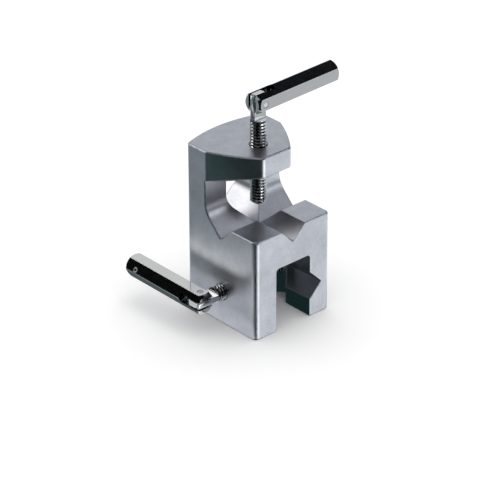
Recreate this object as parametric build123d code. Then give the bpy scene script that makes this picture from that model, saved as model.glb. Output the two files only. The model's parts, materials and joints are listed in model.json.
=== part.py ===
from build123d import *
import math
import os

# Rod clamp: a cast body with two clamping places, each closed by its own
# toggle screw. Units are millimetres, +Z is up. The origin lies on the base
# plane, straight under the upper screw. The front is -Y, the side screw
# enters from -X.

# Slot between the legs, with the side seat in the right leg
left_leg = 17.0
slot_width = 27.0
right_leg = 16.0
slot_height = 42.5
slot_corner_radius = 2.0
slot_edge_radius = 0.5
leg_vee_half_width = 9.5

# Body, plan and heights
body_depth = 60.0
front_to_axis = 30.5
back_crown = 5.5
body_height = 110.0
seat_height = 66.0
corner_radius = 3.0
rim_radius = 1.2
foot_radius = 1.0
pad_radius = 0.8

# Upper seat: crossing vee grooves with square flanks, and the throat over them
groove_half_width = 9.5
groove_root_radius = 0.8
throat_reach = 13.5
throat_edge_radius = 0.8
window_top = 88.0
window_corner_radius = 3.0
window_edge_radius = 0.8

# Arm over the throat
arm_nose_half_width = 11.0
arm_nose_setback = 14.0
arm_nose_thickness = 13.0
arm_root_thickness = 20.0
arm_bend_reach = 12.9
arm_bend_radius = 2.0
arm_side_bulge = 1.2
arm_nose_radius = 4.0

# Toggle screws
screw_diameter = 10.0
thread_clearance = 0.05
shank_spare = 1.5
tip_chamfer = 1.2
bore_chamfer = 0.8
tongue_thickness = 3.6
tongue_crown = 5.7
tongue_below_pivot = 10.6
tongue_corner_radius = 1.5
tongue_root_radius = 0.4
upper_opening = 15.5
side_opening = 4.5
upper_screw_turn = 2.1

# Pressure tips
tip_diameter = 6.0
tip_length = 5.5
tip_stand_out = 0.8
tip_edge_radius = 0.6
tip_clearance = 0.05

# Folding levers, from hexagon bar
lever_across_flats = 13.0
lever_fork_end = 5.0
lever_free_end = 62.0
lever_slot_depth = 11.0
lever_slot_clearance = 1.2
lever_edge_radius = 0.3
lever_end_chamfer = 1.9
lever_chamfer_angle = 45.0

# Pivot pins and spring pins
pivot_pin_diameter = 4.0
pivot_pin_clearance = 0.05
pivot_pin_recess = 0.1
pivot_pin_chamfer = 0.4
spring_pin_diameter = 3.5
spring_pin_bore = 1.8
spring_pin_slit = 0.5
spring_pin_length = 10.0
spring_pin_chamfer = 0.2
spring_pin_from_end = 9.6
spring_pin_offset = 1.6
press_clearance = 0.01

# Derived places
body_width = left_leg + slot_width + right_leg
left_side = -body_width / 2
right_side = body_width / 2
front = -front_to_axis
back = front + body_depth
slot_left = left_side + left_leg
slot_right = slot_left + slot_width
side_axis_height = slot_height / 2
side_seat_root = slot_right + leg_vee_half_width
seat_root = seat_height - groove_half_width
throat_bend_height = seat_root + throat_reach * math.sqrt(2)
nose_front = front + arm_nose_setback
arm_root_height = body_height - arm_root_thickness
arm_nose_height = body_height - arm_nose_thickness
underside_slope = (arm_nose_height - arm_root_height) / (throat_reach - nose_front)
underside_at_axis = arm_root_height + underside_slope * throat_reach

# One screw serves both places, so its shank has the longer of the two reaches.
upper_reach = body_height - seat_root
side_reach = side_seat_root - left_side
shank_length = max(upper_reach, side_reach) + shank_spare
screw_radius = screw_diameter / 2
bore_radius = screw_radius + thread_clearance
pivot_to_tip = tongue_below_pivot + shank_length
upper_pivot = seat_root + upper_opening + pivot_to_tip
side_pivot = side_seat_root - side_opening - pivot_to_tip

# How far cutting shapes run past the faces that they cut
past = 5.0
upright = (Align.CENTER, Align.CENTER, Align.MIN)


def mirrored(point):
    """The same point of a profile on the other side of its middle line."""
    return (-point[0], point[1])


def groove_outline(top):
    """Points of a vee groove that opens by round bends into straight walls, up to a height."""
    tangent = throat_reach / math.sqrt(2)
    bend_across = throat_reach * math.cos(math.pi / 8)
    bend_drop = throat_reach * math.sin(math.pi / 8)
    return {
        "root": (0, seat_root),
        "flank_end": (tangent, seat_root + tangent),
        "bend_middle": (bend_across, throat_bend_height - bend_drop),
        "wall_start": (throat_reach, throat_bend_height),
        "wall_end": (throat_reach, top),
    }


def edges_between(shape, low, high):
    """Edges that lie wholly between two heights."""
    slack = 0.01

    def inside(edge):
        box = edge.bounding_box()
        return box.min.Z > low - slack and box.max.Z < high + slack

    return shape.edges().filter_by(inside)


def make_plan():
    """Plan of the whole body: straight front and sides, crowned back, round corners."""
    with BuildSketch() as plan:
        with BuildLine():
            Polyline((left_side, back), (left_side, front), (right_side, front), (right_side, back))
            ThreePointArc((right_side, back), (0, back + back_crown), (left_side, back))
        make_face()
        fillet(plan.vertices(), corner_radius)
    return plan.sketch


def make_arm_plan():
    """Plan of the arm: full width at the column, drawn in by slightly bulged sides to a nose."""
    left_bend = (left_side, arm_bend_reach)
    right_bend = (right_side, arm_bend_reach)
    left_nose = (-arm_nose_half_width, nose_front)
    right_nose = (arm_nose_half_width, nose_front)
    far = back + back_crown + past
    with BuildSketch() as plan:
        with BuildLine():
            SagittaArc(left_bend, left_nose, -arm_side_bulge)
            Line(left_nose, right_nose)
            SagittaArc(right_nose, right_bend, -arm_side_bulge)
            Polyline(right_bend, (right_side, far), (left_side, far), left_bend)
        make_face()
        fillet(plan.vertices().group_by(Axis.Y)[-2], arm_bend_radius)
        fillet(plan.vertices().group_by(Axis.Y)[0], arm_nose_radius)
    return plan.sketch


def make_blank():
    """The body's outer form, with the arm's taper and its rounded upper rim."""
    body = extrude(make_plan(), amount=body_height)
    arm = Pos(0, 0, arm_root_height) * extrude(make_arm_plan(), amount=arm_root_thickness)
    below_arm = Pos(0, back, 0) * Box(
        body_width + 2 * past,
        2 * (body_depth + past),
        arm_root_height,
        align=upright,
    )
    body = body & (arm + below_arm)
    return fillet(edges_between(body, body_height, body_height), rim_radius)


def make_throat():
    """Throat over the seat, seen from the side: groove, bend, wall and sloping arm underside."""
    outline = groove_outline(arm_root_height)
    far_front = front - past
    far_height = arm_root_height + underside_slope * (throat_reach - far_front)
    with BuildSketch(Plane.YZ) as profile:
        with BuildLine():
            Polyline(
                outline["wall_start"],
                outline["wall_end"],
                (far_front, far_height),
                (far_front, seat_height),
                (-groove_half_width, seat_height),
                outline["root"],
                outline["flank_end"],
            )
            ThreePointArc(outline["flank_end"], outline["bend_middle"], outline["wall_start"])
        make_face()
        fillet(profile.vertices().group_by(Axis.Y)[0], groove_root_radius)
    return extrude(profile.sketch, amount=body_width / 2 + past, both=True)


def make_window():
    """Lengthwise groove, carried through the column as a window for a rod along Y."""
    outline = groove_outline(window_top)
    with BuildSketch(Plane.XZ) as profile:
        with BuildLine():
            ThreePointArc(outline["flank_end"], outline["bend_middle"], outline["wall_start"])
            Polyline(
                outline["wall_start"],
                outline["wall_end"],
                mirrored(outline["wall_end"]),
                mirrored(outline["wall_start"]),
            )
            ThreePointArc(
                mirrored(outline["wall_start"]),
                mirrored(outline["bend_middle"]),
                mirrored(outline["flank_end"]),
            )
            Polyline(mirrored(outline["flank_end"]), outline["root"], outline["flank_end"])
        make_face()
        fillet(profile.vertices().group_by(Axis.Y)[0], groove_root_radius)
        fillet(profile.vertices().group_by(Axis.Y)[-1], window_corner_radius)
    return extrude(profile.sketch, amount=body_depth + back_crown + past, both=True)


def make_slot():
    """Slot between the legs, open below, with a vee along Y in the right leg."""
    with BuildSketch(Plane.XZ) as profile:
        with BuildLine():
            Polyline(
                (slot_left, -past),
                (slot_left, slot_height),
                (slot_right, slot_height),
                (slot_right, side_axis_height + leg_vee_half_width),
                (side_seat_root, side_axis_height),
                (slot_right, side_axis_height - leg_vee_half_width),
                (slot_right, -past),
                close=True,
            )
        make_face()
        fillet(profile.vertices().group_by(Axis.X)[-1], groove_root_radius)
        fillet(profile.vertices().group_by(Axis.Y)[-1], slot_corner_radius)
    return extrude(profile.sketch, amount=body_depth + back_crown + past, both=True)


def make_upright_vee():
    """Second vee of the right leg, upright, so that the side seat also takes an upright rod."""
    mouth = slot_right - slot_corner_radius
    with BuildSketch() as profile:
        with BuildLine():
            Polyline(
                (mouth, -leg_vee_half_width),
                (slot_right, -leg_vee_half_width),
                (side_seat_root, 0),
                (slot_right, leg_vee_half_width),
                (mouth, leg_vee_half_width),
                close=True,
            )
        make_face()
        fillet(profile.vertices().group_by(Axis.X)[-1], groove_root_radius)
    return Pos(0, 0, -past) * extrude(profile.sketch, amount=slot_height + past)


def make_bore(length):
    """Screw hole along Z from the origin up, chamfered at both mouths."""
    hole = Pos(0, 0, -past) * Cylinder(bore_radius, length + 2 * past, align=upright)
    mouth = Cone(bore_radius + bore_chamfer + past, bore_radius, bore_chamfer + past, align=upright)
    lower = Pos(0, 0, -past) * mouth
    upper = Pos(0, 0, length + past) * Rot(180, 0, 0) * mouth
    return hole + lower + upper


def make_upper_bore():
    """Screw hole through the arm. Its lower mouth lies on the sloping underside."""
    return Pos(0, 0, underside_at_axis) * make_bore(body_height - underside_at_axis)


def make_side_bore():
    """Screw hole through the left leg, on the axis of the side seat."""
    return Pos(left_side, 0, side_axis_height) * Rot(0, 90, 0) * make_bore(left_leg)


def throat_side_edges(body):
    """Edges of the throat's back flank, bend and wall, on both sides of the body."""
    slack = 0.01

    def on_side(edge):
        box = edge.bounding_box()
        is_flat_on_side = box.max.X - box.min.X < slack
        is_outside = abs(abs(box.min.X) - right_side) < slack
        is_behind_root = box.min.Y > 0 and box.max.Y < throat_reach + slack
        return is_flat_on_side and is_outside and is_behind_root

    return edges_between(body, seat_root, body_height - rim_radius - 1).filter_by(on_side)


def window_back_edges(body):
    """Edges of the window in the crowned back."""

    def at_back(edge):
        return edge.bounding_box().min.Y > back and abs(edge.center().X) < throat_reach + 1

    return edges_between(body, seat_root, window_top).filter_by(at_back)


def slot_front_edges(body):
    """Edges of the slot and its vee in the flat front."""
    slack = 0.01

    def at_front(edge):
        box = edge.bounding_box()
        return box.max.Y < front + slack and slot_left - slack < edge.center().X < side_seat_root

    return edges_between(body, foot_radius, slot_height).filter_by(at_front)


def make_clamp_body():
    """The casting: blank, then throat, window, slot and vees, soft edges, and the two bores."""
    body = make_blank() - make_throat() - make_window() - make_slot() - make_upright_vee()
    body = fillet(edges_between(body, 0, 0), foot_radius)
    body = fillet(edges_between(body, seat_height, seat_height), pad_radius)
    body = fillet(throat_side_edges(body), throat_edge_radius)
    body = fillet(window_back_edges(body), window_edge_radius)
    body = fillet(slot_front_edges(body), slot_edge_radius)
    return body - make_upper_bore() - make_side_bore()


def make_tongue():
    """Flat tongue milled from the round bar, with its pivot at the origin and a squarish crown."""
    half = tongue_thickness / 2
    shoulder = -tongue_below_pivot
    height = tongue_below_pivot + tongue_crown
    with BuildSketch(Plane.YZ) as side_view:
        with Locations((0, shoulder)):
            Rectangle(tongue_thickness, height, align=(Align.CENTER, Align.MIN))
            Rectangle(
                tongue_thickness + 2 * tongue_root_radius,
                tongue_root_radius,
                align=(Align.CENTER, Align.MIN),
            )
        with Locations(
            (half + tongue_root_radius, shoulder + tongue_root_radius),
            (-half - tongue_root_radius, shoulder + tongue_root_radius),
        ):
            Circle(tongue_root_radius, mode=Mode.SUBTRACT)
    with BuildSketch(Plane.XZ) as front_view:
        with Locations((0, shoulder)):
            Rectangle(screw_diameter, height, align=(Align.CENTER, Align.MIN))
        fillet(front_view.vertices().group_by(Axis.Y)[-1], tongue_corner_radius)
    milled = extrude(side_view.sketch, amount=screw_diameter, both=True)
    crowned = extrude(front_view.sketch, amount=screw_diameter, both=True)
    round_bar = Pos(0, 0, shoulder) * Cylinder(screw_radius, height, align=upright)
    eye = Rot(90, 0, 0) * Cylinder(pivot_pin_diameter / 2 + pivot_pin_clearance, screw_diameter)
    return (milled & crowned & round_bar) - eye


def make_screw():
    """Toggle screw along Z, with its pivot at the origin and its tip below."""
    shank = Pos(0, 0, -pivot_to_tip) * Cylinder(screw_radius, shank_length, align=upright)
    shank = chamfer(shank.edges().group_by(Axis.Z)[0], tip_chamfer)
    socket_depth = tip_length - tip_stand_out + tip_clearance
    socket = Cylinder(tip_diameter / 2 + tip_clearance, socket_depth, align=upright)
    return shank + make_tongue() - Pos(0, 0, -pivot_to_tip) * socket


def make_pressure_tip():
    """Swivelling tip in the screw's end face, in the screw's own frame."""
    tip = Cylinder(tip_diameter / 2, tip_length, align=upright)
    tip = fillet(tip.edges().group_by(Axis.Z)[0], tip_edge_radius)
    return Pos(0, 0, -pivot_to_tip - tip_stand_out) * tip


def make_hexagon_bar():
    """Hexagon bar along X with flats at plus and minus Y, both ends turned to a cone."""
    corner = lever_across_flats / math.sqrt(3)
    with BuildSketch(Plane.YZ) as section:
        RegularPolygon(corner, 6, major_radius=True, rotation=90)
        fillet(section.vertices(), lever_edge_radius)
    bar = Pos(-lever_fork_end, 0, 0) * extrude(section.sketch, amount=lever_fork_end + lever_free_end)
    run = lever_end_chamfer * math.tan(math.radians(lever_chamfer_angle))
    with BuildSketch() as half_profile:
        with BuildLine():
            Polyline(
                (-lever_fork_end, 0),
                (-lever_fork_end, corner - lever_end_chamfer),
                (-lever_fork_end + run, corner),
                (lever_free_end - run, corner),
                (lever_free_end, corner - lever_end_chamfer),
                (lever_free_end, 0),
                close=True,
            )
        make_face()
    return bar & revolve(half_profile.sketch, Axis.X)


def spring_pin_place():
    """Place of the spring pin on a slanting flat near the free end, with +Z out of the lever."""
    from_flat_to_slanting_flat = 30
    along = lever_free_end - spring_pin_from_end
    return (
        Pos(along, 0, 0)
        * Rot(from_flat_to_slanting_flat, 0, 0)
        * Pos(0, spring_pin_offset, lever_across_flats / 2)
    )


def make_lever():
    """Folding lever along X, with its pivot at the origin and the pin along Y."""
    fork_slot = Pos(-lever_fork_end - past, 0, 0) * Box(
        past + lever_fork_end + lever_slot_depth,
        tongue_thickness + 2 * lever_slot_clearance,
        2 * lever_across_flats,
        align=(Align.MIN, Align.CENTER, Align.CENTER),
    )
    eye = Rot(90, 0, 0) * Cylinder(pivot_pin_diameter / 2 + press_clearance, 2 * lever_across_flats)
    pin_hole = Cylinder(spring_pin_diameter / 2 + press_clearance, 2 * spring_pin_length)
    return make_hexagon_bar() - fork_slot - eye - spring_pin_place() * pin_hole


def make_pivot_pin():
    """Plain pin along Y through the fork and the tongue, a little short of both flats."""
    pin = Cylinder(pivot_pin_diameter / 2, lever_across_flats - 2 * pivot_pin_recess)
    pin = chamfer(pin.edges().filter_by(GeomType.CIRCLE), pivot_pin_chamfer)
    return Rot(90, 0, 0) * pin


def make_spring_pin():
    """Rolled spring pin with its slit, driven flush into a blind hole of the lever."""
    from_top = (Align.CENTER, Align.CENTER, Align.MAX)
    sleeve = Cylinder(spring_pin_diameter / 2, spring_pin_length, align=from_top)
    sleeve = chamfer(sleeve.edges().group_by(Axis.Z)[-1], spring_pin_chamfer)
    bore = Cylinder(spring_pin_bore / 2, 2 * spring_pin_length + past)
    slit = Box(
        spring_pin_diameter,
        spring_pin_slit,
        2 * spring_pin_length + past,
        align=(Align.MIN, Align.CENTER, Align.CENTER),
    )
    return spring_pin_place() * (sleeve - bore - slit)


def write(name, shape):
    """Write one piece to its own file."""
    shape.label = name
    export_step(shape, os.path.join("parts", name + ".step"))


# The upper screw stands over the crossing of the seat's grooves, turned a
# little from the body's sides. The side screw's own +Z points out of the body
# along -X. The upper lever is fitted the other way round, with its spring pin
# on the far side.
screw_places = {
    "upper": Pos(0, 0, upper_pivot) * Rot(0, 0, upper_screw_turn),
    "side": Pos(side_pivot, 0, side_axis_height) * Rot(0, -90, 0) * Rot(0, 0, 90),
}
lever_places = {
    "upper": screw_places["upper"] * Rot(180, 0, 0),
    "side": screw_places["side"],
}

os.makedirs("parts", exist_ok=True)
write("clamp_body", make_clamp_body())
for which in screw_places:
    write(which + "_screw", screw_places[which] * make_screw())
    write(which + "_pressure_tip", screw_places[which] * make_pressure_tip())
    write(which + "_lever", lever_places[which] * make_lever())
    write(which + "_pivot_pin", lever_places[which] * make_pivot_pin())
    write(which + "_spring_pin", lever_places[which] * make_spring_pin())
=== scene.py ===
import json
import math
from typing import NamedTuple

import bmesh
import bpy
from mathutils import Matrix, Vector


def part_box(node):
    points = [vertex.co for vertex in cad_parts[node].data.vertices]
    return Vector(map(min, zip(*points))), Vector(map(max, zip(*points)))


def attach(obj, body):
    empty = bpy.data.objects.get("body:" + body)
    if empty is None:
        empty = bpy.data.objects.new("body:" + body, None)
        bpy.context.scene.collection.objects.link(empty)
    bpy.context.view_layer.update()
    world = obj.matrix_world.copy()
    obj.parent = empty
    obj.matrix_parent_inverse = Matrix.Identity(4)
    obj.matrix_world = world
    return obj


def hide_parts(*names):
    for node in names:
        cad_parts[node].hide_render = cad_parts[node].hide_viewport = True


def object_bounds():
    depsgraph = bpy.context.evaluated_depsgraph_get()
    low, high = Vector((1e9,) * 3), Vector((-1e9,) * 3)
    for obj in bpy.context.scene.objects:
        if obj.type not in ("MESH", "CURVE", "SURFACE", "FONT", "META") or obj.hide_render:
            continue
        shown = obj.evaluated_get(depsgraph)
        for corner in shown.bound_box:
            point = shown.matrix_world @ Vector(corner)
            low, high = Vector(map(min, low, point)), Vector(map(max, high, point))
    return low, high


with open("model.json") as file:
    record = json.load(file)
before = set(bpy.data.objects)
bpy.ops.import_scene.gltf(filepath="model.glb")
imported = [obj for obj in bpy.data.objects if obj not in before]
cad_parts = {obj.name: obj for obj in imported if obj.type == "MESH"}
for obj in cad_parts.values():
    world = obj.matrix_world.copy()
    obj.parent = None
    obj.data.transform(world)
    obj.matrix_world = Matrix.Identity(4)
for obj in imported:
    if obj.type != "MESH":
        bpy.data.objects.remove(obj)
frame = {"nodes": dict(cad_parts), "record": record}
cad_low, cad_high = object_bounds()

bl_info = {
    "name": "Rod clamp",
    "version": (1, 0, 0),
    "blender": (4, 5, 0),
    "location": "3D View > Sidebar > Rod clamp",
    "description": "Threads a rod clamp's screws, finishes its casting, levers and pins, and lights them",
    "category": "Object",
}

# What the names of the two toggle screws' joints, bodies and nodes start with
SCREWS = ("upper", "side")

# Range in which nearly all values of a noise texture lie
NOISE_LOW = 0.3
NOISE_HIGH = 0.7

WHITE = (1.0, 1.0, 1.0, 1.0)


def recorded_colour(slot):
    """Colour that the record gives a material slot."""
    for material in frame["record"]["materials"]:
        if material["slot"] == slot:
            return tuple(material["base_color"])
    raise ValueError("the record has no material slot " + slot)


def joint(name):
    """A joint of the record, by its name."""
    for found in frame["record"]["behaviour"]["joints"]:
        if found["name"] == name:
            return found
    raise ValueError("the record has no joint " + name)


# Properties

class CastingFinish(bpy.types.PropertyGroup):
    """Blasted and lightly handled aluminium casting."""

    colour: bpy.props.FloatVectorProperty(
        name="Colour",
        description="Colour of the blasted aluminium",
        subtype="COLOR",
        size=3,
        min=0.0,
        max=1.0,
        default=recorded_colour("cast_body"),
    )
    shade: bpy.props.FloatProperty(
        name="Shade",
        description="Share of the colour that is left by the shade in the dimples of the blasting",
        subtype="FACTOR",
        min=0.0,
        max=1.0,
        default=0.82,
    )
    roughness: bpy.props.FloatProperty(
        name="Roughness",
        description="Roughness of the blasted faces",
        subtype="FACTOR",
        min=0.0,
        max=1.0,
        default=0.34,
    )
    grain_size: bpy.props.FloatProperty(
        name="Grain size",
        description="Distance between the dimples of the blasting",
        unit="LENGTH",
        default=0.00035,
    )
    grain_depth: bpy.props.FloatProperty(
        name="Grain depth",
        description="Depth of the dimples of the blasting",
        unit="LENGTH",
        default=0.000006,
    )
    mottle: bpy.props.FloatProperty(
        name="Mottle",
        description="How far lighter and darker spots stray from the shade",
        subtype="FACTOR",
        min=0.0,
        max=0.3,
        default=0.16,
    )
    mottle_size: bpy.props.FloatProperty(
        name="Mottle size",
        description="Size of the lighter and darker spots",
        unit="LENGTH",
        default=0.0013,
    )
    # The brighter line along the edges is partly rubbing and partly a painted highlight.
    edge_width: bpy.props.FloatProperty(
        name="Edge width",
        description="Width of the brighter line that handling leaves along the edges",
        unit="LENGTH",
        default=0.0008,
    )
    corner_width: bpy.props.FloatProperty(
        name="Corner width",
        description="Width over which light rolls round the two upright front edges",
        unit="LENGTH",
        default=0.0028,
    )


class ThreadSizes(bpy.types.PropertyGroup):
    """Trapezoidal thread of the toggle screws."""

    pitch: bpy.props.FloatProperty(
        name="Pitch",
        description="Distance from one turn to the next",
        unit="LENGTH",
        default=0.002,
    )
    root_diameter: bpy.props.FloatProperty(
        name="Root diameter",
        description="Diameter at the bottom of the thread",
        unit="LENGTH",
        default=0.0075,
    )
    crest_share: bpy.props.FloatProperty(
        name="Crest share",
        description="Width of the crest as a share of the pitch",
        subtype="FACTOR",
        min=0.1,
        max=0.9,
        default=0.366,
    )
    flank_angle: bpy.props.FloatProperty(
        name="Flank angle",
        description="Slope of each flank",
        subtype="ANGLE",
        default=math.radians(15),
    )
    tongue_length: bpy.props.FloatProperty(
        name="Tongue length",
        description="Distance from the lever's pivot down to the shoulder where the thread ends",
        unit="LENGTH",
        default=0.0106,
    )
    run_out: bpy.props.FloatProperty(
        name="Run-out",
        description="Part of a turn over which the groove comes out of the shank",
        default=0.6,
    )
    steps: bpy.props.IntProperty(
        name="Steps",
        description="Faces round one turn",
        default=64,
    )


class ChromeFinish(bpy.types.PropertyGroup):
    """Bright chromed steel of the screws and levers."""

    colour: bpy.props.FloatVectorProperty(
        name="Colour",
        description="Colour of the chrome",
        subtype="COLOR",
        size=3,
        min=0.0,
        max=1.0,
        default=recorded_colour("lever_steel"),
    )
    roughness: bpy.props.FloatProperty(
        name="Roughness",
        description="Roughness of the polished flats",
        subtype="FACTOR",
        min=0.0,
        max=1.0,
        default=0.06,
    )
    smudge_size: bpy.props.FloatProperty(
        name="Smudge size",
        description="Size of the faint marks that fingers leave",
        unit="LENGTH",
        default=0.006,
    )
    edge_width: bpy.props.FloatProperty(
        name="Edge width",
        description="Width of the polished line along the edges",
        unit="LENGTH",
        default=0.00025,
    )


class PinFinish(bpy.types.PropertyGroup):
    """Ground steel of the pins and turned steel of the pressure tips."""

    pin_colour: bpy.props.FloatVectorProperty(
        name="Pin colour",
        description="Colour of the ground pins",
        subtype="COLOR",
        size=3,
        min=0.0,
        max=1.0,
        default=recorded_colour("pin_steel"),
    )
    tip_colour: bpy.props.FloatVectorProperty(
        name="Tip colour",
        description="Colour of the turned pressure tips",
        subtype="COLOR",
        size=3,
        min=0.0,
        max=1.0,
        default=recorded_colour("tip_steel"),
    )
    roughness: bpy.props.FloatProperty(
        name="Roughness",
        description="Roughness of the ground ends",
        subtype="FACTOR",
        min=0.0,
        max=1.0,
        default=0.4,
    )
    mark_spacing: bpy.props.FloatProperty(
        name="Mark spacing",
        description="Distance between the tool marks",
        unit="LENGTH",
        default=0.00018,
    )


class Studio(bpy.types.PropertyGroup):
    """Floor, light and camera."""

    aim: bpy.props.FloatVectorProperty(
        name="Aim",
        description="Point that the camera is turned to",
        subtype="TRANSLATION",
        unit="LENGTH",
        size=3,
        default=(0.0, -0.0005, 0.05),
    )
    azimuth: bpy.props.FloatProperty(
        name="Azimuth",
        description="Direction of the camera round the clamp, 0 in front and negative to its left",
        subtype="ANGLE",
        default=math.radians(-42.32),
    )
    elevation: bpy.props.FloatProperty(
        name="Elevation",
        description="Height of the camera over the horizon",
        subtype="ANGLE",
        default=math.radians(28.73),
    )
    distance: bpy.props.FloatProperty(
        name="Distance",
        description="Distance of the camera from its aim",
        unit="LENGTH",
        default=1.5015,
    )
    lens: bpy.props.FloatProperty(
        name="Lens",
        description="Focal length, in millimetres on a sensor 36 mm wide",
        default=180.32,
    )
    shift_x: bpy.props.FloatProperty(
        name="Shift X",
        description="Sideways shift of the picture, in widths",
        default=-0.01764,
    )
    shift_y: bpy.props.FloatProperty(
        name="Shift Y",
        description="Upward shift of the picture, in widths",
        default=-0.03276,
    )
    floor_half_width: bpy.props.FloatProperty(
        name="Floor half width",
        description="Half the width of the floor",
        unit="LENGTH",
        default=6.0,
    )
    card_reach: bpy.props.FloatProperty(
        name="Card reach",
        description="Distance from the clamp at which the light cards on the floor end",
        unit="LENGTH",
        default=0.15,
    )
    lamp_size: bpy.props.FloatProperty(
        name="Lamp size",
        description="Width of the soft overhead lamp",
        unit="LENGTH",
        default=0.9,
    )
    lamp_place: bpy.props.FloatVectorProperty(
        name="Lamp place",
        description="Centre of the soft overhead lamp, which is turned to the foot of the clamp",
        subtype="TRANSLATION",
        unit="LENGTH",
        size=3,
        default=(0.3, 0.2, 1.2),
    )
    lamp_power: bpy.props.FloatProperty(
        name="Lamp power",
        description="Power of the soft overhead lamp",
        unit="POWER",
        default=2.5,
    )


# Node helpers

def feed(tree, socket, value):
    """Give an input a link from another socket, or a plain value."""
    if isinstance(value, bpy.types.NodeSocket):
        tree.links.new(value, socket)
    else:
        socket.default_value = value


def put(tree, kind, inputs=(), **settings):
    """Add a node, set its properties, and feed its inputs with sockets or with plain values."""
    node = tree.nodes.new(kind)
    for name, value in settings.items():
        setattr(node, name, value)
    for name, value in dict(inputs).items():
        feed(tree, node.inputs[name], value)
    return node


def add_socket(tree, name, direction, kind, default=None, description=""):
    """Add a named input or output to a node group."""
    socket = tree.interface.new_socket(
        name=name,
        in_out=direction,
        socket_type="NodeSocket" + kind,
        description=description,
    )
    if default is not None:
        socket.default_value = default


def calculate(tree, operation, first, second=0.0):
    """Result of a math node."""
    return put(tree, "ShaderNodeMath", {0: first, 1: second}, operation=operation).outputs[0]


def calculate_vector(tree, operation, inputs, result="Vector"):
    """Result of a vector math node."""
    return put(tree, "ShaderNodeVectorMath", inputs, operation=operation).outputs[result]


def remap(tree, value, from_low, from_high, to_low=0.0, to_high=1.0, smooth=False):
    """A value carried from one range to another, clamped."""
    names = ("Value", "From Min", "From Max", "To Min", "To Max")
    inputs = dict(zip(names, (value, from_low, from_high, to_low, to_high)))
    kind = "SMOOTHSTEP" if smooth else "LINEAR"
    return put(tree, "ShaderNodeMapRange", inputs, interpolation_type=kind).outputs["Result"]


def noise(tree, place, size, detail, roughness=0.5):
    """Value of a noise texture whose spots have a given size."""
    scale = calculate(tree, "DIVIDE", 1.0, size)
    inputs = {"Vector": place, "Scale": scale, "Detail": detail, "Roughness": roughness}
    return put(tree, "ShaderNodeTexNoise", inputs).outputs[0]


def blend_colours(tree, share, first, second):
    """Mix of two colours."""
    node = put(tree, "ShaderNodeMix", data_type="RGBA")
    colour_inputs = [socket for socket in node.inputs if socket.type == "RGBA"]
    for socket, value in zip([node.inputs[0]] + colour_inputs, (share, first, second)):
        feed(tree, socket, value)
    return [socket for socket in node.outputs if socket.type == "RGBA"][0]


def shaded(colour, factor):
    """A colour made lighter or darker, with its alpha."""
    return tuple(min(1.0, channel * factor) for channel in colour) + (1.0,)


# Shared shader groups

def build_edge_mask(tree):
    """Mask that is 1 along outer edges and 0 on flat faces, and a normal that rounds the edges."""
    alike_on_flats = 0.995
    alike_on_edges = 0.85
    add_socket(tree, "Width", "INPUT", "Float", 0.0005, "Width of the worn line")
    add_socket(tree, "Mask", "OUTPUT", "Float")
    add_socket(tree, "Normal", "OUTPUT", "Vector")
    width = tree.nodes.new("NodeGroupInput").outputs["Width"]
    rounded = put(tree, "ShaderNodeBevel", {"Radius": width}, samples=6).outputs["Normal"]
    plain = put(tree, "ShaderNodeNewGeometry").outputs["Normal"]
    alike = calculate_vector(tree, "DOT_PRODUCT", {0: rounded, 1: plain}, "Value")
    mask = remap(tree, alike, alike_on_flats, alike_on_edges)
    put(tree, "NodeGroupOutput", {"Mask": mask, "Normal": rounded})


def build_grain(tree):
    """Fine uneven heights of a surface, with slow changes of tone."""
    add_socket(tree, "Coordinates", "INPUT", "Vector")
    add_socket(tree, "Size", "INPUT", "Float", 0.0004, "Distance between dimples")
    add_socket(tree, "Tone size", "INPUT", "Float", 0.02, "Size of the slow changes")
    add_socket(tree, "Height", "OUTPUT", "Float")
    add_socket(tree, "Tone", "OUTPUT", "Float")
    given = tree.nodes.new("NodeGroupInput").outputs
    fine = noise(tree, given["Coordinates"], given["Size"], detail=3.0, roughness=0.6)
    slow = noise(tree, given["Coordinates"], given["Tone size"], detail=2.0)
    tone = remap(tree, slow, NOISE_LOW, NOISE_HIGH)
    put(tree, "NodeGroupOutput", {"Height": fine, "Tone": tone})


def build_tool_marks(tree):
    """Fine marks that grinding or turning leaves."""
    add_socket(tree, "Coordinates", "INPUT", "Vector")
    add_socket(tree, "Spacing", "INPUT", "Float", 0.0002, "Distance between marks")
    add_socket(tree, "Height", "OUTPUT", "Float")
    given = tree.nodes.new("NodeGroupInput").outputs
    marks = noise(tree, given["Coordinates"], given["Spacing"], detail=2.0)
    put(tree, "NodeGroupOutput", {"Height": marks})


def use_group(tree, name, build, inputs):
    """Outputs of a shared group, which is built once and placed with its own values."""
    if name not in bpy.data.node_groups:
        build(bpy.data.node_groups.new(name, "ShaderNodeTree"))
    group = bpy.data.node_groups[name]
    return put(tree, "ShaderNodeGroup", inputs, node_tree=group).outputs


def use_edge_mask(tree, width):
    """Mask and rounding normal of the edges, for lines of a given width."""
    return use_group(tree, "edge wear", build_edge_mask, {"Width": width})


def use_grain(tree, place, size, tone_size):
    """Height and tone of a grain with its own sizes."""
    inputs = {"Coordinates": place, "Size": size, "Tone size": tone_size}
    return use_group(tree, "surface grain", build_grain, inputs)


def use_tool_marks(tree, place, spacing):
    """Height of tool marks with their own spacing."""
    inputs = {"Coordinates": place, "Spacing": spacing}
    return use_group(tree, "tool marks", build_tool_marks, inputs)


# Materials

def start_material(name):
    """New material with a metallic shader. Returns it with its tree, shader and Object coordinates."""
    material = bpy.data.materials.new(name)
    material.use_nodes = True
    tree = material.node_tree
    shader = tree.nodes["Principled BSDF"]
    shader.inputs["Metallic"].default_value = 1.0
    place = tree.nodes.new("ShaderNodeTexCoord").outputs["Object"]
    return material, tree, shader, place


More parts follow.
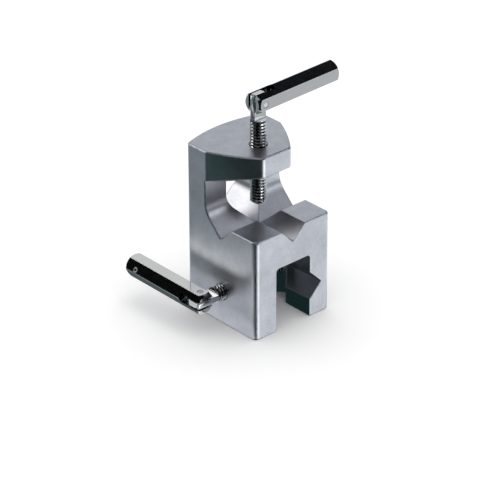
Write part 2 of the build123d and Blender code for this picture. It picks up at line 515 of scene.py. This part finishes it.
def add_bump(tree, shader, height, depth, rounded=None):
    """Lead a height pattern to the shader's normal, over a normal that rounds edges if given."""
    bump = put(tree, "ShaderNodeBump", {"Height": height, "Strength": 1.0, "Distance": depth})
    if rounded:
        tree.links.new(rounded, bump.inputs["Normal"])
    tree.links.new(bump.outputs["Normal"], shader.inputs["Normal"])


def rounding_width(tree, place, finish):
    """Width of the rounded edges, larger round the two upright front edges of the casting."""
    low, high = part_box("clamp_body")
    split = put(tree, "ShaderNodeSeparateXYZ", {0: place}).outputs
    across = calculate(tree, "SUBTRACT", calculate(tree, "ABSOLUTE", split["X"]), high[0])
    deep = calculate(tree, "SUBTRACT", split["Y"], low[1])
    flat = put(tree, "ShaderNodeCombineXYZ", {"X": across, "Y": deep}).outputs[0]
    distance = calculate_vector(tree, "LENGTH", {0: flat}, "Value")
    # This width also sets the band of the painted highlight along the edges.
    narrow = finish.edge_width
    wide = finish.corner_width
    end_of_wide = 2 * wide
    return remap(tree, distance, wide, end_of_wide, wide, narrow)


def casting_colour(tree, finish, grain, mottle, edges):
    """Cloudy and speckled aluminium, a little brighter along its edges, partly from rubbing and partly as
    a painted highlight.
    """
    most_wear_and_highlight = 0.6
    wear_and_highlight_brightness = 1.3
    specks = remap(tree, mottle["Height"], NOISE_LOW, NOISE_HIGH)
    tones = (grain["Tone"], mottle["Tone"], specks)
    total = 0.0
    for tone in tones:
        total = calculate(tree, "ADD", total, tone)
    share = calculate(tree, "DIVIDE", total, len(tones))
    dark = shaded(finish.colour, finish.shade - finish.mottle)
    light = shaded(finish.colour, finish.shade + finish.mottle)
    cloudy = blend_colours(tree, share, dark, light)
    # Painted highlight along the edges, on top of the brightening from rubbing.
    worn_and_highlighted = calculate(tree, "MULTIPLY", edges, most_wear_and_highlight)
    return blend_colours(tree, worn_and_highlighted, cloudy, shaded(finish.colour, wear_and_highlight_brightness * finish.shade))


def casting_material(finish):
    """Satin aluminium: blasted grain, cloudy tone, and edges rubbed smoother, a little brighter from
    rubbing and a painted highlight.
    """
    cloud_size = 0.03
    mottle_cloud_size = 5 * finish.mottle_size
    roughness_sway = 0.03
    edge_polish = 0.08
    material, tree, shader, place = start_material("blasted aluminium casting")
    grain = use_grain(tree, place, finish.grain_size, cloud_size)
    mottle = use_grain(tree, place, finish.mottle_size, mottle_cloud_size)
    highlight_and_wear = use_edge_mask(tree, rounding_width(tree, place, finish))
    colour = casting_colour(tree, finish, grain, mottle, highlight_and_wear["Mask"])
    tree.links.new(colour, shader.inputs["Base Color"])
    smoothest = finish.roughness - roughness_sway
    roughest = finish.roughness + roughness_sway
    rough = remap(tree, grain["Tone"], 0.0, 1.0, smoothest, roughest)
    polish = calculate(tree, "MULTIPLY", highlight_and_wear["Mask"], edge_polish)
    tree.links.new(calculate(tree, "SUBTRACT", rough, polish), shader.inputs["Roughness"])
    add_bump(tree, shader, grain["Height"], finish.grain_depth, highlight_and_wear["Normal"])
    return material


def paint_shade_in_grooves(tree, colour, depth):
    """A colour with painted shade in the grooves, darkest where they are least open."""
    # Colour of the painted shade at the bottom of the grooves.
    groove_shade = (0.015, 0.015, 0.014, 1.0)
    openness_in_grooves = 0.35
    openness_on_crests = 0.85
    openness = put(
        tree,
        "ShaderNodeAmbientOcclusion",
        {"Distance": depth},
        samples=8,
        only_local=True,
    ).outputs["AO"]
    unshaded = remap(tree, openness, openness_in_grooves, openness_on_crests)
    return blend_colours(tree, unshaded, groove_shade, colour)


def chrome_material(name, finish, groove_depth=0.0):
    """Polished chrome with faint smudges, a smoother line along its edges, and painted shade in its
    grooves if any.
    """
    cloud_size = 4 * finish.smudge_size
    darkest = 0.97
    brightest = 1.02
    faintest_smudge = 0.35
    strongest_smudge = 0.75
    smudge_roughness = 0.05
    smudge_depth = 0.000002
    edge_polish = 0.03
    material, tree, shader, place = start_material(name)
    smudges = use_grain(tree, place, finish.smudge_size, cloud_size)
    edges = use_edge_mask(tree, finish.edge_width)["Mask"]
    dark = shaded(finish.colour, darkest)
    bright = shaded(finish.colour, brightest)
    colour = blend_colours(tree, smudges["Tone"], dark, bright)
    if groove_depth > 0:
        colour = paint_shade_in_grooves(tree, colour, groove_depth)
    tree.links.new(colour, shader.inputs["Base Color"])
    smoothest = finish.roughness
    roughest = finish.roughness + smudge_roughness
    rough = remap(tree, smudges["Height"], faintest_smudge, strongest_smudge, smoothest, roughest)
    polish = calculate(tree, "MULTIPLY", edges, edge_polish)
    tree.links.new(calculate(tree, "SUBTRACT", rough, polish), shader.inputs["Roughness"])
    add_bump(tree, shader, smudges["Height"], smudge_depth)
    return material


def ground_material(name, colour, finish):
    """Ground or turned steel with fine tool marks."""
    darkest = 0.9
    brightest = 1.1
    smoothest = finish.roughness - 0.05
    roughest = finish.roughness + 0.08
    mark_depth = 0.000004
    material, tree, shader, place = start_material(name)
    marks = use_tool_marks(tree, place, finish.mark_spacing)["Height"]
    tone = blend_colours(tree, marks, shaded(colour, darkest), shaded(colour, brightest))
    tree.links.new(tone, shader.inputs["Base Color"])
    rough = remap(tree, marks, NOISE_LOW, NOISE_HIGH, smoothest, roughest)
    tree.links.new(rough, shader.inputs["Roughness"])
    add_bump(tree, shader, marks, mark_depth)
    return material


def dress_node(name, material):
    """Give a node of the frame its finish."""
    for slot in frame["nodes"][name].material_slots:
        slot.material = material


# Threads

def add_thread_sockets(tree):
    """Named sizes of a thread, as inputs of its tree, and the cut shank as its output."""
    add_socket(tree, "Geometry", "INPUT", "Geometry")
    add_socket(tree, "Pitch", "INPUT", "Float", 0.002, "Distance from one turn to the next")
    add_socket(tree, "Root radius", "INPUT", "Float", 0.00375, "Radius at the bottom of the groove")
    add_socket(tree, "Root width", "INPUT", "Float", 0.0006, "Width of the groove at its bottom")
    add_socket(tree, "Mouth width", "INPUT", "Float", 0.0014, "Width of the groove outside the shank")
    add_socket(tree, "Depth", "INPUT", "Float", 0.0015, "Depth of the cutter")
    add_socket(tree, "Turns", "INPUT", "Float", 28.0, "Turns from the start to the end")
    add_socket(tree, "Steps", "INPUT", "Int", 64, "Faces round one turn")
    add_socket(tree, "Run-out", "INPUT", "Float", 0.02, "Last share of the turns, where the groove rises")
    add_socket(tree, "Start", "INPUT", "Vector", (0.0, 0.0, 0.0), "Place of the groove's start")
    add_socket(tree, "Turned", "INPUT", "Rotation", (0.0, 0.0, 0.0), "Turn of the shank from upright")
    add_socket(tree, "Material", "INPUT", "Material")
    add_socket(tree, "Geometry", "OUTPUT", "Geometry")


def groove_path(tree, given):
    """Right-hand helix along the bottom of the groove, which comes out of the shank at its end."""
    height = calculate(tree, "MULTIPLY", given["Pitch"], given["Turns"])
    helix = put(
        tree,
        "GeometryNodeCurveSpiral",
        {
            "Resolution": given["Steps"],
            "Rotations": given["Turns"],
            "Start Radius": given["Root radius"],
            "End Radius": given["Root radius"],
            "Height": height,
        },
    ).outputs[0]
    along = put(tree, "GeometryNodeSplineParameter").outputs["Factor"]
    rise_start = calculate(tree, "SUBTRACT", 1.0, given["Run-out"])
    rise = remap(tree, along, rise_start, 1.0, 0.0, given["Depth"])
    place = put(tree, "GeometryNodeInputPosition").outputs[0]
    flat = calculate_vector(tree, "MULTIPLY", {0: place, 1: (1.0, 1.0, 0.0)})
    outward = calculate_vector(tree, "NORMALIZE", {0: flat})
    offset = calculate_vector(tree, "SCALE", {0: outward, "Scale": rise})
    risen = put(tree, "GeometryNodeSetPosition", {"Geometry": helix, "Offset": offset}).outputs[0]
    return put(tree, "GeometryNodeSetCurveNormal", {"Curve": risen}, mode="Z_UP").outputs[0]


def groove_section(tree, given):
    """Trapezium that stands on the path, with its wide side outwards."""
    section = put(
        tree,
        "GeometryNodeCurvePrimitiveQuadrilateral",
        {
            "Bottom Width": given["Root width"],
            "Top Width": given["Mouth width"],
            "Height": given["Depth"],
            "Offset": 0.0,
        },
        mode="TRAPEZOID",
    ).outputs[0]
    half_depth = calculate(tree, "MULTIPLY", given["Depth"], 0.5)
    lift = put(tree, "ShaderNodeCombineXYZ", {"Y": half_depth}).outputs[0]
    seated = put(tree, "GeometryNodeTransform", {"Geometry": section, "Translation": lift}).outputs[0]
    quarter_turn = (0.0, 0.0, math.radians(90))
    return put(tree, "GeometryNodeTransform", {"Geometry": seated, "Rotation": quarter_turn}).outputs[0]


def groove_cutter(tree, given):
    """Body that the groove takes out of the shank, in its place on the screw."""
    cutter = put(
        tree,
        "GeometryNodeCurveToMesh",
        {
            "Curve": groove_path(tree, given),
            "Profile Curve": groove_section(tree, given),
            "Fill Caps": True,
        },
    ).outputs[0]
    return put(
        tree,
        "GeometryNodeTransform",
        {"Geometry": cutter, "Translation": given["Start"], "Rotation": given["Turned"]},
    ).outputs[0]


def thread_tree():
    """Cuts a right-hand trapezoidal groove into a shank, from below its end up to its shoulder."""
    tree = bpy.data.node_groups.new("cut thread", "GeometryNodeTree")
    tree.is_modifier = True
    add_thread_sockets(tree)
    given = tree.nodes.new("NodeGroupInput").outputs
    cut = put(tree, "GeometryNodeMeshBoolean", operation="DIFFERENCE", solver="MANIFOLD")
    tree.links.new(given["Geometry"], cut.inputs["Mesh 1"])
    tree.links.new(groove_cutter(tree, given), cut.inputs["Mesh 2"])
    realized = put(tree, "GeometryNodeRealizeInstances", {"Geometry": cut.outputs[0]}).outputs[0]
    finished = put(
        tree,
        "GeometryNodeSetMaterial",
        {"Geometry": realized, "Material": given["Material"]},
    ).outputs[0]
    put(tree, "NodeGroupOutput", {"Geometry": finished})
    return tree


def merged_copy(node_name, piece_name):
    """Copy of a node's mesh with its loose triangles joined, as a new object."""
    closeness = 0.000002
    work = bmesh.new()
    work.from_mesh(frame["nodes"][node_name].data)
    bmesh.ops.remove_doubles(work, verts=work.verts, dist=closeness)
    mesh = bpy.data.meshes.new(piece_name)
    work.to_mesh(mesh)
    work.free()
    piece = bpy.data.objects.new(piece_name, mesh)
    bpy.context.scene.collection.objects.link(piece)
    return piece


def set_inputs(modifier, values):
    """Set a geometry nodes modifier's inputs through their sockets' identifiers."""
    for item in modifier.node_group.interface.items_tree:
        if item.item_type == "SOCKET" and item.in_out == "INPUT" and item.name in values:
            modifier[item.identifier] = values[item.name]


def bake_modifiers(piece):
    """Turn what the modifiers make into the piece's own plain mesh."""
    evaluated = piece.evaluated_get(bpy.context.evaluated_depsgraph_get())
    mesh = bpy.data.meshes.new_from_object(evaluated)
    piece.modifiers.clear()
    piece.data = mesh
    mesh.name = piece.name


def smooth_by_angle(mesh, limit):
    """Smooth shading everywhere but over edges sharper than the limit."""
    mesh.shade_smooth()
    mesh.set_sharp_from_angle(angle=limit)


def groove_sizes(which, sizes):
    """Inputs of the thread's tree for one screw, from its joints and the box of its plain shank."""
    turn = joint(which + "_screw_turn")
    tip = Vector(turn["pos_m"])
    axis = Vector(turn["axis"])
    pivot = Vector(joint(which + "_lever_fold")["pos_m"])
    shoulder = (pivot - tip).length - sizes.tongue_length
    low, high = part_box(which + "_screw")
    outer_radius = min(high[i] - low[i] for i in range(3)) / 2
    root_radius = sizes.root_diameter / 2
    depth = outer_radius - root_radius
    overshoot = 0.2 * depth
    mouth_at_crest = sizes.pitch * (1 - sizes.crest_share)
    slope = math.tan(sizes.flank_angle)
    turns_below = 1
    short_of_shoulder = 0.1
    turns = shoulder / sizes.pitch + turns_below - short_of_shoulder
    return {
        "Pitch": sizes.pitch,
        "Root radius": root_radius,
        "Root width": mouth_at_crest - 2 * slope * depth,
        "Mouth width": mouth_at_crest + 2 * slope * overshoot,
        "Depth": depth + overshoot,
        "Turns": turns,
        "Steps": sizes.steps,
        "Run-out": sizes.run_out / turns,
        "Start": tip - axis * sizes.pitch * turns_below,
        "Turned": axis.to_track_quat("Z", "Y").to_euler(),
    }


def thread_screw(which, sizes, material):
    """Threaded screw, cut from a copy of the plain one."""
    sharpest_smooth = math.radians(35)
    piece = merged_copy(which + "_screw", which + "_threaded_screw")
    modifier = piece.modifiers.new("thread", "NODES")
    modifier.node_group = thread_tree()
    set_inputs(modifier, {**groove_sizes(which, sizes), "Material": material})
    bake_modifiers(piece)
    smooth_by_angle(piece.data, sharpest_smooth)
    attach(piece, which + "_spindle")
    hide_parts(which + "_screw")


# Operators

class CLAMP_OT_casting(bpy.types.Operator):
    """Give the cast body its blasted aluminium finish"""

    bl_idname = "clamp.casting"
    bl_label = "Finish casting"

    def execute(self, context):
        dress_node("clamp_body", casting_material(context.scene.clamp_casting))
        return {"FINISHED"}


class CLAMP_OT_screws(bpy.types.Operator):
    """Cut the threads of both toggle screws"""

    bl_idname = "clamp.screws"
    bl_label = "Thread screws"

    def execute(self, context):
        sizes = context.scene.clamp_thread
        # Reach of the painted shade in the thread's grooves.
        groove_depth = sizes.pitch / 2
        material = chrome_material("chromed screw", context.scene.clamp_chrome, groove_depth)
        for which in SCREWS:
            thread_screw(which, sizes, material)
        return {"FINISHED"}


class CLAMP_OT_levers(bpy.types.Operator):
    """Give the folding levers their bright chrome"""

    bl_idname = "clamp.levers"
    bl_label = "Finish levers"

    def execute(self, context):
        material = chrome_material("chromed lever", context.scene.clamp_chrome)
        for which in SCREWS:
            dress_node(which + "_lever", material)
        return {"FINISHED"}


class CLAMP_OT_pins(bpy.types.Operator):
    """Give pivot pins, spring pins and pressure tips their ground and turned finish"""

    bl_idname = "clamp.pins"
    bl_label = "Finish pins and tips"

    def execute(self, context):
        finish = context.scene.clamp_pins
        pins = ground_material("ground pin", finish.pin_colour, finish)
        tips = ground_material("turned tip", finish.tip_colour, finish)
        for which in SCREWS:
            dress_node(which + "_pivot_pin", pins)
            dress_node(which + "_spring_pin", pins)
            dress_node(which + "_pressure_tip", tips)
        return {"FINISHED"}


# Studio

def direction_to(azimuth, elevation):
    """Unit vector from compass angles, with azimuth 0 along -Y and positive towards +X."""
    flat = math.cos(elevation)
    return Vector((math.sin(azimuth) * flat, -math.cos(azimuth) * flat, math.sin(elevation)))


class Patch(NamedTuple):
    """Soft patch of the studio: its middle, where it is full and where it ends, in degrees."""

    azimuth: float
    elevation: float
    full: float
    end: float
    colour: tuple


# What metal sees of the studio. A later patch covers an earlier one. Azimuth 0 is in front
# and 90 to the right, and an elevation below 0 is the floor.
STUDIO_PATCHES = {
    "grey far left": Patch(
        azimuth=-148.0, elevation=-26.0, full=20.0, end=40.0, colour=(0.31, 0.355, 0.385, 1.0)
    ),
    "card far left": Patch(
        azimuth=-141.0, elevation=-9.0, full=4.0, end=11.0, colour=(1.8, 1.8, 1.85, 1.0)
    ),
    "dark side left of the camera": Patch(
        azimuth=-88.0, elevation=-27.0, full=30.0, end=41.0, colour=(0.042, 0.088, 0.088, 1.0)
    ),
    "dark side behind the camera": Patch(
        azimuth=-42.0, elevation=-27.0, full=28.0, end=37.0, colour=(0.006, 0.012, 0.012, 1.0)
    ),
    "bright strip right of the camera": Patch(
        azimuth=12.0, elevation=-29.0, full=7.0, end=15.0, colour=(3.0, 3.0, 3.0, 1.0)
    ),
    "greyer floor in front": Patch(
        azimuth=42.3, elevation=-28.7, full=6.0, end=12.0, colour=(0.7, 0.72, 0.74, 1.0)
    ),
    "shade under the clamp": Patch(
        azimuth=169.0, elevation=-49.0, full=10.0, end=24.0, colour=(0.1, 0.13, 0.13, 1.0)
    ),
    "window far right": Patch(
        azimuth=138.0, elevation=29.0, full=20.0, end=44.0, colour=(0.59, 0.63, 0.7, 1.0)
    ),
    "lamp far right": Patch(
        azimuth=138.0, elevation=29.0, full=4.0, end=9.0, colour=(0.95, 0.95, 0.95, 1.0)
    ),
    "window near right": Patch(
        azimuth=51.0, elevation=38.0, full=6.0, end=18.0, colour=(0.68, 0.71, 0.78, 1.0)
    ),
    "lamp in the throat": Patch(
        azimuth=40.0, elevation=23.0, full=3.0, end=14.0, colour=(2.0, 2.05, 2.2, 1.0)
    ),
    "window left": Patch(
        azimuth=-60.0, elevation=50.0, full=12.0, end=30.0, colour=(0.5, 0.5, 0.52, 1.0)
    ),
    "lamp far left": Patch(
        azimuth=-143.4, elevation=36.2, full=8.0, end=18.0, colour=(3.0, 3.0, 3.0, 1.0)
    ),
    "window overhead": Patch(
        azimuth=0.0, elevation=90.0, full=8.0, end=28.0, colour=(0.5, 0.53, 0.58, 1.0)
    ),
}
STUDIO_FLOOR = (1.1, 1.15, 1.24, 1.0)
STUDIO_CEILING = (0.004, 0.005, 0.005, 1.0)


def patch_share(tree, direction, patch):
    """Share of a patch in a direction: 1 where it is full, falling softly to 0 where it ends."""
    middle = direction_to(math.radians(patch.azimuth), math.radians(patch.elevation))
    nearness = calculate_vector(tree, "DOT_PRODUCT", {0: direction, 1: tuple(middle)}, "Value")
    nearness_at_end = math.cos(math.radians(patch.end))
    nearness_when_full = math.cos(math.radians(patch.full))
    return remap(tree, nearness, nearness_at_end, nearness_when_full, smooth=True)


def studio_colour(tree):
    """Colour that metal sees in every direction: floor, dark ceiling, and the patches over them."""
    horizon_blur = 0.12
    direction = tree.nodes.new("ShaderNodeTexCoord").outputs["Generated"]
    height = put(tree, "ShaderNodeSeparateXYZ", {0: direction}).outputs["Z"]
    upward = remap(tree, height, -horizon_blur, horizon_blur, smooth=True)
    colour = blend_colours(tree, upward, STUDIO_FLOOR, STUDIO_CEILING)
    for patch in STUDIO_PATCHES.values():
        colour = blend_colours(tree, patch_share(tree, direction, patch), colour, patch.colour)
    return colour


def build_world():
    """White to the camera, even light for the floor, and a soft dark and light studio for metal."""
    world = bpy.data.worlds.new("studio")
    world.use_nodes = True
    world.cycles.sampling_method = "NONE"
    tree = world.node_tree
    tree.nodes.clear()
    glossy = tree.nodes.new("ShaderNodeLightPath").outputs["Is Glossy Ray"]
    seen = blend_colours(tree, glossy, WHITE, studio_colour(tree))
    background = put(tree, "ShaderNodeBackground", {"Color": seen, "Strength": 1.0})
    put(tree, "ShaderNodeOutputWorld", {"Surface": background.outputs[0]})
    return world


def build_sheet(name, low, high, material):
    """Flat sheet under the clamp, from one corner to the other."""
    level = cad_low.z
    corners = [
        (low[0], low[1], level),
        (high[0], low[1], level),
        (high[0], high[1], level),
        (low[0], high[1], level),
    ]
    mesh = bpy.data.meshes.new(name)
    mesh.from_pydata(corners, [], [(0, 1, 2, 3)])
    mesh.materials.append(material)
    sheet = bpy.data.objects.new(name, mesh)
    bpy.context.scene.collection.objects.link(sheet)
    return sheet


def floor_material():
    """Matt and nearly white."""
    material = bpy.data.materials.new("white floor")
    material.use_nodes = True
    shader = material.node_tree.nodes["Principled BSDF"]
    shader.inputs["Base Color"].default_value = (0.97, 0.97, 0.97, 1.0)
    shader.inputs["Roughness"].default_value = 1.0
    shader.inputs["Specular IOR Level"].default_value = 0.0
    return material


def build_floor(studio):
    """Plain white floor under the clamp, which keeps its shadow."""
    half = studio.floor_half_width
    floor = build_sheet("floor", (-half, -half), (half, half), floor_material())
    floor.visible_glossy = False


def card_material(name, colour, reach):
    """Plain glow that fades between half its reach and its reach from the foot of the clamp."""
    material = bpy.data.materials.new(name)
    material.use_nodes = True
    tree = material.node_tree
    tree.nodes.clear()
    place = tree.nodes.new("ShaderNodeTexCoord").outputs["Object"]
    distance = calculate_vector(tree, "LENGTH", {0: place}, "Value")
    share = remap(tree, distance, reach / 2, reach, 1.0, 0.0, smooth=True)
    glow = put(tree, "ShaderNodeEmission", {"Color": colour, "Strength": 1.0}).outputs[0]
    clear = put(tree, "ShaderNodeBsdfTransparent").outputs[0]
    mixed = put(tree, "ShaderNodeMixShader", {0: share, 1: clear, 2: glow}).outputs[0]
    put(tree, "ShaderNodeOutputMaterial", {"Surface": mixed})
    return material


def build_card(name, low, high, colour, reach):
    """Flat card on the floor that only reflections see, from one corner to the other."""
    card = build_sheet(name, low, high, card_material(name, colour, reach))
    card.visible_camera = False
    card.visible_diffuse = False
    card.visible_transmission = False
    card.visible_shadow = False


def build_cards(studio):
    """Floor as metal sees it: dark under the clamp, light on the left, with a gap under the lever."""
    low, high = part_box("clamp_body")
    lever_low, lever_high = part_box("side_lever")
    reach = studio.card_reach
    endless = 4 * reach
    shade_reach = reach / 5
    gap_share = 0.5
    shade = (0.01, 0.03, 0.03, 1.0)
    light = (0.86, 0.88, 0.94, 1.0)
    back = high[1] + reach
    gap_end = lever_low[0] + gap_share * (lever_high[0] - lever_low[0])
    build_card("shade card", low, (high[0] + shade_reach, high[1] + shade_reach), shade, endless)
    build_card("light card far", (low[0] - reach, low[1]), (lever_low[0], back), light, reach)
    build_card("light card near", (gap_end, low[1]), (low[0], back), light, reach)


def build_lamp(studio):
    """Soft overhead lamp, which gives the floor's shadow a direction."""
    data = bpy.data.lights.new("overhead lamp", "AREA")
    data.shape = "SQUARE"
    data.size = studio.lamp_size
    data.energy = studio.lamp_power
    lamp = bpy.data.objects.new("overhead lamp", data)
    lamp.location = studio.lamp_place
    lamp.rotation_euler = (-lamp.location).to_track_quat("-Z", "Y").to_euler()
    lamp.visible_glossy = False
    bpy.context.scene.collection.objects.link(lamp)


def build_camera(studio):
    """Long lens from the left front, above the clamp."""
    data = bpy.data.cameras.new("camera")
    data.sensor_width = 36.0
    data.lens = studio.lens
    data.shift_x = studio.shift_x
    data.shift_y = studio.shift_y
    camera = bpy.data.objects.new("camera", data)
    away = direction_to(studio.azimuth, studio.elevation)
    camera.location = Vector(studio.aim) + away * studio.distance
    camera.rotation_euler = (-away).to_track_quat("-Z", "Y").to_euler()
    bpy.context.scene.collection.objects.link(camera)
    bpy.context.scene.camera = camera


class CLAMP_OT_stage(bpy.types.Operator):
    """Set up floor, light and camera"""

    bl_idname = "clamp.stage"
    bl_label = "Set up studio"

    def execute(self, context):
        studio = context.scene.clamp_studio
        context.scene.world = build_world()
        build_floor(studio)
        build_cards(studio)
        build_lamp(studio)
        build_camera(studio)
        context.scene.view_settings.view_transform = "Standard"
        return {"FINISHED"}


class CLAMP_PT_panel(bpy.types.Panel):
    """Lists the steps that finish the clamp."""

    bl_idname = "CLAMP_PT_panel"
    bl_label = "Rod clamp"
    bl_space_type = "VIEW_3D"
    bl_region_type = "UI"
    bl_category = "Rod clamp"

    def draw(self, context):
        for operator in OPERATORS:
            self.layout.operator(operator.bl_idname)


OPERATORS = (CLAMP_OT_casting, CLAMP_OT_screws, CLAMP_OT_levers, CLAMP_OT_pins, CLAMP_OT_stage)
GROUPS = {
    "clamp_casting": CastingFinish,
    "clamp_thread": ThreadSizes,
    "clamp_chrome": ChromeFinish,
    "clamp_pins": PinFinish,
    "clamp_studio": Studio,
}


def register():
    """Register the classes and hang the settings on the scene."""
    for name, group in GROUPS.items():
        bpy.utils.register_class(group)
        setattr(bpy.types.Scene, name, bpy.props.PointerProperty(type=group))
    for operator in OPERATORS:
        bpy.utils.register_class(operator)
    bpy.utils.register_class(CLAMP_PT_panel)


def unregister():
    """Take everything off again."""
    bpy.utils.unregister_class(CLAMP_PT_panel)
    for operator in reversed(OPERATORS):
        bpy.utils.unregister_class(operator)
    for name, group in GROUPS.items():
        delattr(bpy.types.Scene, name)
        bpy.utils.unregister_class(group)


def main():
    """Build everything in order."""
    register()
    bpy.ops.clamp.casting()
    bpy.ops.clamp.screws()
    bpy.ops.clamp.levers()
    bpy.ops.clamp.pins()
    bpy.ops.clamp.stage()


if __name__ == "__main__":
    main()
